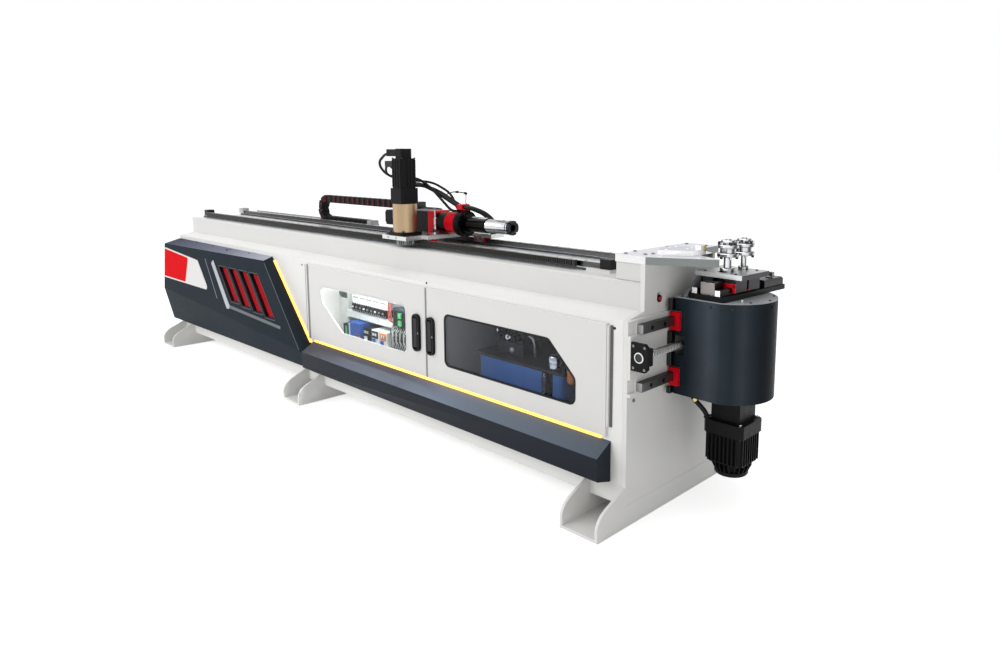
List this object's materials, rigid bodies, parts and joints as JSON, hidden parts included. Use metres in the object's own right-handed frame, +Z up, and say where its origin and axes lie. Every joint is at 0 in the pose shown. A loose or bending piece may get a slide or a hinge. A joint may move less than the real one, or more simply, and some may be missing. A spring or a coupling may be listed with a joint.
{
  "type": "cnc pipe bending machine",
  "caption": "Long floor-standing CNC pipe bender: a cabinet bed with feed rails carries a driven chuck carriage, and a swing-arm bend head with roller tooling shifts across its end.",
  "frame": {"origin": "on the floor, at the centre of the sole of the foot under the bend end", "axes": "+X along the bed towards the bend head, -Y to the door side, +Z up"},
  "size_m": [4.398, 1, 1.393],
  "materials": {
    "white_paint": "satin",
    "slate_paint": "satin",
    "ground_steel": "ground",
    "grey_paint": "satin",
    "black_paint": "satin",
    "gold_anodised": "brushed",
    "chrome": "polished",
    "red_panel": "satin",
    "amber_light": "glowing",
    "smoked_pane": "clear",
    "black_plastic": "matte",
    "hose_rubber": "matte",
    "blue_paint": "satin",
    "black_steel": "blackened"
  },
  "bodies": {
    "frame": {"feet": "white_paint", "cabinet_sheets": "white_paint", "cabinet_inner_plates": "white_paint", "end_plates": "white_paint", "bed_beam": "white_paint", "bed_rails": "ground_steel", "rail_stops": "black_paint", "feed_rack": "ground_steel", "table_plate": "ground_steel", "die_bed": "ground_steel", "head_rails": "ground_steel", "screw_supports": "black_paint", "shift_motor": "black_paint", "chain_tray": "grey_paint", "chain_lower_run": "black_plastic", "fairing": "slate_paint", "fairing_insert": "red_panel", "skirt": "slate_paint", "light_strips": "amber_light", "piano_hinges": "ground_steel", "rear_covers": "white_paint", "panel_plate": "ground_steel", "panel_devices": "black_plastic", "oil_tank": "blue_paint", "pump_unit": "grey_paint"},
    "door_left": {"door_left": "white_paint", "window_left": "smoked_pane", "latch_left": "black_plastic"},
    "lever_left": {"lever_left": "chrome"},
    "door_right": {"door_right": "white_paint", "window_right": "smoked_pane", "latch_right": "black_plastic"},
    "lever_right": {"lever_right": "chrome"},
    "head": {"head_blocks": "ground_steel", "head_plate": "ground_steel", "ball_nut": "ground_steel", "head_casing": "slate_paint", "head_lid": "grey_paint", "bend_reducer": "grey_paint", "bend_motor": "black_paint", "motor_conduit": "hose_rubber"},
    "screw": {"ball_screw": "chrome"},
    "arm": {"bend_spindle": "chrome", "arm_plate": "black_paint", "arm_rails": "ground_steel"},
    "slide": {"slide_blocks": "ground_steel", "tool_plate": "ground_steel", "clamp_stack": "chrome"},
    "carriage": {"carriage_plate": "ground_steel", "carriage_blocks": "ground_steel", "feed_gearbox": "gold_anodised", "feed_motor": "black_paint", "rotary_housing": "black_paint", "rotary_motor": "black_paint", "carriage_hoses": "hose_rubber", "chain_upper_run": "black_plastic"},
    "pinion": {"feed_pinion": "ground_steel"},
    "spindle": {"chuck_spindle": "black_paint"},
    "collet": {"collet": "black_steel"},
    "chain_loop": {"chain_loop": "black_plastic"}
  },
  "joints": [
    {"name": "carriage_feed", "type": "slide", "parent": "frame", "child": "carriage", "axis": [1, 0, 0], "range_m": [-1.85, 0.65], "deforming": ["chain_lower_run", "chain_upper_run"]},
    {"name": "pinion_turn", "type": "hinge", "parent": "carriage", "child": "pinion", "pos_m": [-1.389, -0.213, 0.93], "axis": [0, 0, 1], "range_deg": [-2730, 940]},
    {"name": "chain_roll", "type": "slide", "parent": "frame", "child": "chain_loop", "axis": [1, 0, 0], "range_m": [-0.96, 0.33]},
    {"name": "chuck_turn", "type": "hinge", "parent": "carriage", "child": "spindle", "pos_m": [-1.2, 0, 1.023], "axis": [1, 0, 0], "continuous": true},
    {"name": "collet_draw", "type": "slide", "parent": "spindle", "child": "collet", "axis": [-1, 0, 0], "range_m": [0, 0.006]},
    {"name": "head_shift", "type": "slide", "parent": "frame", "child": "head", "axis": [0, 1, 0], "range_m": [-0.08, 0.05]},
    {"name": "screw_turn", "type": "hinge", "parent": "frame", "child": "screw", "pos_m": [0.137, 0, 0.655], "axis": [0, 1, 0], "range_deg": [-2890, 1810]},
    {"name": "bend_arm", "type": "hinge", "parent": "head", "child": "arm", "pos_m": [0.25, 0.057, 0.85], "axis": [0, 0, -1], "range_deg": [-3.5, 156.5]},
    {"name": "clamp_slide", "type": "slide", "parent": "arm", "child": "slide", "axis": [0.061, 0.9981, 0], "range_m": [-0.004, 0.025]},
    {"name": "door_left_swing", "type": "hinge", "parent": "frame", "child": "door_left", "pos_m": [-2.147, -0.347, 0.55], "axis": [0, 0, -1], "range_deg": [0, 90]},
    {"name": "lever_left_pull", "type": "hinge", "parent": "door_left", "child": "lever_left", "pos_m": [-1.124, -0.3605, 0.47], "axis": [1, 0, 0], "range_deg": [0, 35]},
    {"name": "door_right_swing", "type": "hinge", "parent": "frame", "child": "door_right", "pos_m": [0.008, -0.347, 0.55], "axis": [0, 0, 1], "range_deg": [0, 110]},
    {"name": "lever_right_pull", "type": "hinge", "parent": "door_right", "child": "lever_right", "pos_m": [-1.018, -0.3605, 0.47], "axis": [1, 0, 0], "range_deg": [0, 35]}
  ],
  "couplings": [
    {"joint": "pinion_turn", "follows": "carriage_feed", "rad_per_m": 25},
    {"joint": "chain_roll", "follows": "carriage_feed", "ratio": 0.5},
    {"joint": "screw_turn", "follows": "head_shift", "rad_per_m": 628.32}
  ]
}
